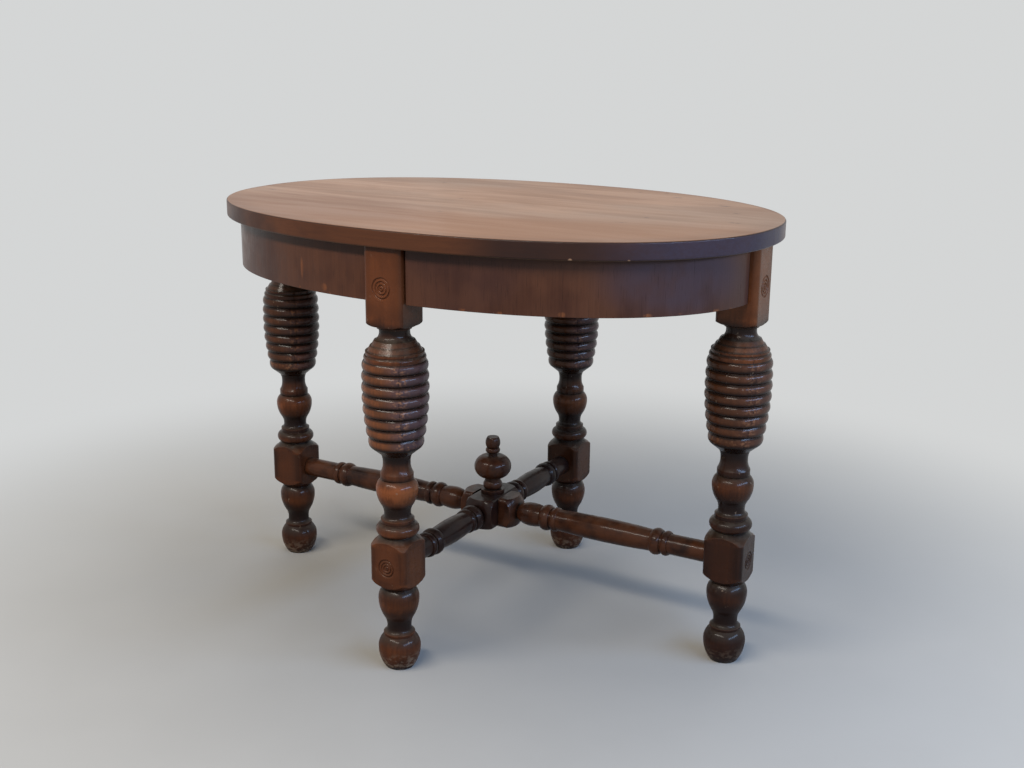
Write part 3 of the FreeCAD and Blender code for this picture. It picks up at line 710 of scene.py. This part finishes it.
def top_finish(name):
    """Faded face with long streaks, a grey bloom and a warm front, and a dark stained edge band with painted
    shade and a painted bluish reflection on stretches of it.
    """
    material, tree, shader, place = new_finish(name)
    grain = placed(tree, wood_grain, {"Vector": grain_along(tree, place, "X")})
    form = placed(tree, relief, top_relief)
    parts = shader_node(tree, "SeparateXYZ", {"Vector": place}).outputs
    normal = shader_node(tree, "NewGeometry").outputs["Normal"]
    facing = shader_node(tree, "SeparateXYZ", {"Vector": normal}).outputs["Z"]

    # Figure and fading of the face, warmer in front and darker by the rim, with dark marks
    broad = noise(tree, place, 13.0, detail=5.0, roughness=0.58, stretch=(0.24, 1.0, 1.0), distortion=0.5)
    broad = between(tree, broad, 0.36, 0.64)
    fine = noise(tree, place, 60.0, detail=4.0, roughness=0.6, stretch=(0.06, 1.0, 1.0), distortion=0.3)
    fine = between(tree, fine, 0.30, 0.70)
    hairs = between(tree, noise(tree, place, 420.0, roughness=0.6, stretch=(0.02, 1.0, 1.0)), 0.30, 0.70)
    figure = weighted(tree, (broad, 0.50), (fine, 0.20), (hairs, 0.17))
    face = blended(tree, top_pale, top_brown, figure)
    bloom = noise(tree, place, 4.5, detail=4.0, stretch=(0.6, 1.0, 1.0))
    face = blended(tree, face, top_grey, between(tree, bloom, 0.40, 0.65, 0.05, 0.50))
    behind = maths(tree, "SUBTRACT", parts["Y"], times(tree, parts["X"], front_slope))
    waver = times(tree, noise(tree, place, 14.0, roughness=0.5, stretch=(0.3, 1.0, 1.0)), front_waver)
    front = between(tree, total(tree, behind, waver), *warm_front)
    face = blended(tree, face, top_orange, front, front_share)
    face = blended(tree, face, top_tan, spot(tree, place, *warm_end), warm_end_share)
    face = blended(tree, face, top_brown, grain["Pores"], face_pore_share)
    outward = oval_share(tree, parts, top_oval)
    for shares, distances, strength in rim_stains:
        by_rim = between(tree, outward, *shares)
        face = blended(tree, face, top_rim, by_rim, between(tree, behind, *distances), strength)
    level = shader_node(tree, "CombineXYZ", {0: parts["X"], 1: parts["Y"]}).outputs[0]
    ragged = between(tree, noise(tree, place, 240.0, roughness=0.6), 0.36, 0.54)
    for (x, y), (half_long, half_wide) in face_marks:
        mark = spot(tree, level, (x, y, 0.0), (half_long, half_wide, 1.0))
        face = blended(tree, face, top_mark, mark, ragged, mark_share)

    # Stained band of the edge, with stretches of painted shade and painted bluish reflection, its nicks, dirt
    # and painted shade in its hollows and its dark upper arris, and the bare underside
    edge = blended(tree, edge_dark, edge_orange, between(tree, noise(tree, place, 9.0), 0.38, 0.62))
    for centre, reach, stretch_colour, strength in edge_stretches:
        edge = blended(tree, edge, stretch_colour, spot(tree, place, centre, reach), strength)
    edge = blended(tree, edge, edge_dark, grain["Streaks"], edge_streak_share)
    for centre, reach in edge_nicks:
        edge = blended(tree, edge, edge_chip, spot(tree, place, centre, reach))
    edge = blended(tree, edge, grime_and_shade_black, form["Hollow"], edge_dirt_and_shade_share)
    colour = blended(tree, face, edge, between(tree, facing, *face_to_edge))
    on_arris = times(tree, between(tree, facing, *arris_begins), between(tree, facing, *arris_ends))
    colour = blended(tree, colour, arris_dark, on_arris, dark_arris_share)
    below = between(tree, facing, *edge_to_below)
    bare = placed(tree, bare_wood, {"Vector": grain_along(tree, place, "X")})
    colour = blended(tree, colour, bare["Color"], below)
    roughness = spread(tree, weighted(tree, (fine, 0.4), (broad, 0.6)), *top_roughness)
    roughness = greatest(tree, roughness, times(tree, below, bare["Dullness"]))
    felt = maths(tree, "SUBTRACT", times(tree, hairs, 0.5), grain["Pores"])
    varnish(tree, shader, colour, roughness, felt, form["Eased"], bump_strength=0.10, sheen_level=0.08)
    return material


paint("top", top_finish("faded_top"))


# Floor, light and camera
# A plain pale floor that fades into a pale backdrop, under soft studio light: a warm key from the
# front, a cool window on the right, a wide soft light overhead and a weak one behind.

floor_half = 30.0
floor_grey = (0.510, 0.495, 0.465)
floor_shade = 0.95
floor_bounce = (0.20, 0.20, 0.19)
floor_roughness = 0.8
floor_sheen = 0.1
# Distances from the middle between which the floor fades into the backdrop.
floor_fade = (0.42, 1.25)
backdrop_grey = (0.66, 0.67, 0.67)
fill_white = (0.92, 0.96, 1.0)
fill_strength = 0.16

floor_mesh = bpy.data.meshes.new("floor")
floor_corners = [(x * floor_half, y * floor_half, 0.0) for x, y in ((-1, -1), (1, -1), (1, 1), (-1, 1))]
floor_mesh.from_pydata(floor_corners, [], [(0, 1, 2, 3)])
floor = bpy.data.objects.new("floor", floor_mesh)
bpy.context.scene.collection.objects.link(floor)


def shown_ray(tree):
    """1 for rays that show the backdrop itself: from the camera, or off gloss and through glass."""
    seen = shader_node(tree, "LightPath").outputs
    mirrored = greatest(tree, seen["Is Glossy Ray"], seen["Is Transmission Ray"])
    return greatest(tree, seen["Is Camera Ray"], mirrored)


floor_finish, floor_tree, floor_shader, floor_place = new_finish("floor_finish")
clouded = between(floor_tree, noise(floor_tree, floor_place, 3.0, detail=4.0), 0.3, 0.7)
floor_colour = blended(floor_tree, [floor_shade * c for c in floor_grey], floor_grey, clouded)
floor_colour = blended(floor_tree, floor_bounce, floor_colour, shown_ray(floor_tree))
feed(floor_tree, floor_shader, {
    "Base Color": floor_colour, "Roughness": floor_roughness, "Specular IOR Level": floor_sheen,
})
distance = shader_node(floor_tree, "VectorMath", {0: floor_place}, operation="LENGTH").outputs["Value"]
fade = times(floor_tree, between(floor_tree, distance, *floor_fade), shown_ray(floor_tree))
far_light = {"Color": (*backdrop_grey, 1.0), "Strength": 1.0}
far_floor = shader_node(floor_tree, "Emission", far_light).outputs[0]
either = {0: fade, 1: floor_shader.outputs[0], 2: far_floor}
floor_mix = shader_node(floor_tree, "MixShader", either).outputs[0]
feed(floor_tree, floor_tree.nodes["Material Output"], {"Surface": floor_mix})
floor_mesh.materials.append(floor_finish)

world = bpy.data.worlds.new("studio")
bpy.context.scene.world = world
world.use_nodes = True
world_tree = world.node_tree
fill_light = {"Color": (*fill_white, 1.0), "Strength": fill_strength}
fill = shader_node(world_tree, "Background", fill_light).outputs[0]
backdrop = shader_node(world_tree, "Background", far_light).outputs[0]
either = {0: shown_ray(world_tree), 1: fill, 2: backdrop}
world_mix = shader_node(world_tree, "MixShader", either).outputs[0]
feed(world_tree, world_tree.nodes["World Output"], {"Surface": world_mix})

light_aim = Vector((0.0, 0.0, 0.3))


def soft_light(name, azimuth, elevation, distance, width, height, power, colour):
    """Area light aimed at the middle of the table, placed by angles round it."""
    lamp = bpy.data.lights.new(name, "AREA")
    lamp.shape = "RECTANGLE"
    lamp.size = width
    lamp.size_y = height
    lamp.energy = power
    lamp.color = colour
    holder = bpy.data.objects.new(name, lamp)
    bpy.context.scene.collection.objects.link(holder)
    a, e = math.radians(azimuth), math.radians(elevation)
    back = Vector((math.sin(a) * math.cos(e), -math.cos(a) * math.cos(e), math.sin(e)))
    holder.location = light_aim + back * distance
    holder.rotation_euler = (-back).to_track_quat("-Z", "Y").to_euler()


# Each lamp, its direction and height round the table in degrees, its distance, width and height in
# metres, its watts and its colour.
for lamp_values in (
    ("key_light", -8.0, 42.0, 2.3, 2.2, 0.22, 34.0, (1.0, 0.93, 0.83)),
    ("window_light", 82.0, 22.0, 2.3, 2.4, 0.26, 40.0, (0.41, 0.62, 1.0)),
    ("overhead_light", 200.0, 84.0, 2.3, 1.8, 1.8, 23.0, (1.0, 0.98, 0.95)),
    ("back_light", 228.0, 17.0, 2.6, 1.2, 0.5, 0.35, (1.0, 0.98, 0.96)),
):
    soft_light(*lamp_values)

camera_place = Vector((0.8620, -1.4479, 0.7817))
camera_pitch = math.radians(15.465)
camera_roll = math.radians(0.479)
camera_yaw = math.radians(-29.90)
sensor_width = 36.0
lens_length = 45.34

upright = Vector((0.0, 0.0, 1.0))
level_ahead = Vector((math.sin(camera_yaw), math.cos(camera_yaw), 0.0))
level_right = Vector((math.cos(camera_yaw), -math.sin(camera_yaw), 0.0))
ahead = math.cos(camera_pitch) * level_ahead - math.sin(camera_pitch) * upright
level_above = math.sin(camera_pitch) * level_ahead + math.cos(camera_pitch) * upright
right = math.cos(camera_roll) * level_right + math.sin(camera_roll) * level_above
above = -math.sin(camera_roll) * level_right + math.cos(camera_roll) * level_above
camera_data = bpy.data.cameras.new("camera")
camera_data.sensor_width = sensor_width
camera_data.lens = lens_length
camera = bpy.data.objects.new("camera", camera_data)
bpy.context.scene.collection.objects.link(camera)
camera_turn = Matrix((right, above, -ahead)).transposed()
camera.matrix_world = Matrix.Translation(camera_place) @ camera_turn.to_4x4()
bpy.context.scene.camera = camera
bpy.context.scene.view_settings.view_transform = "Standard"
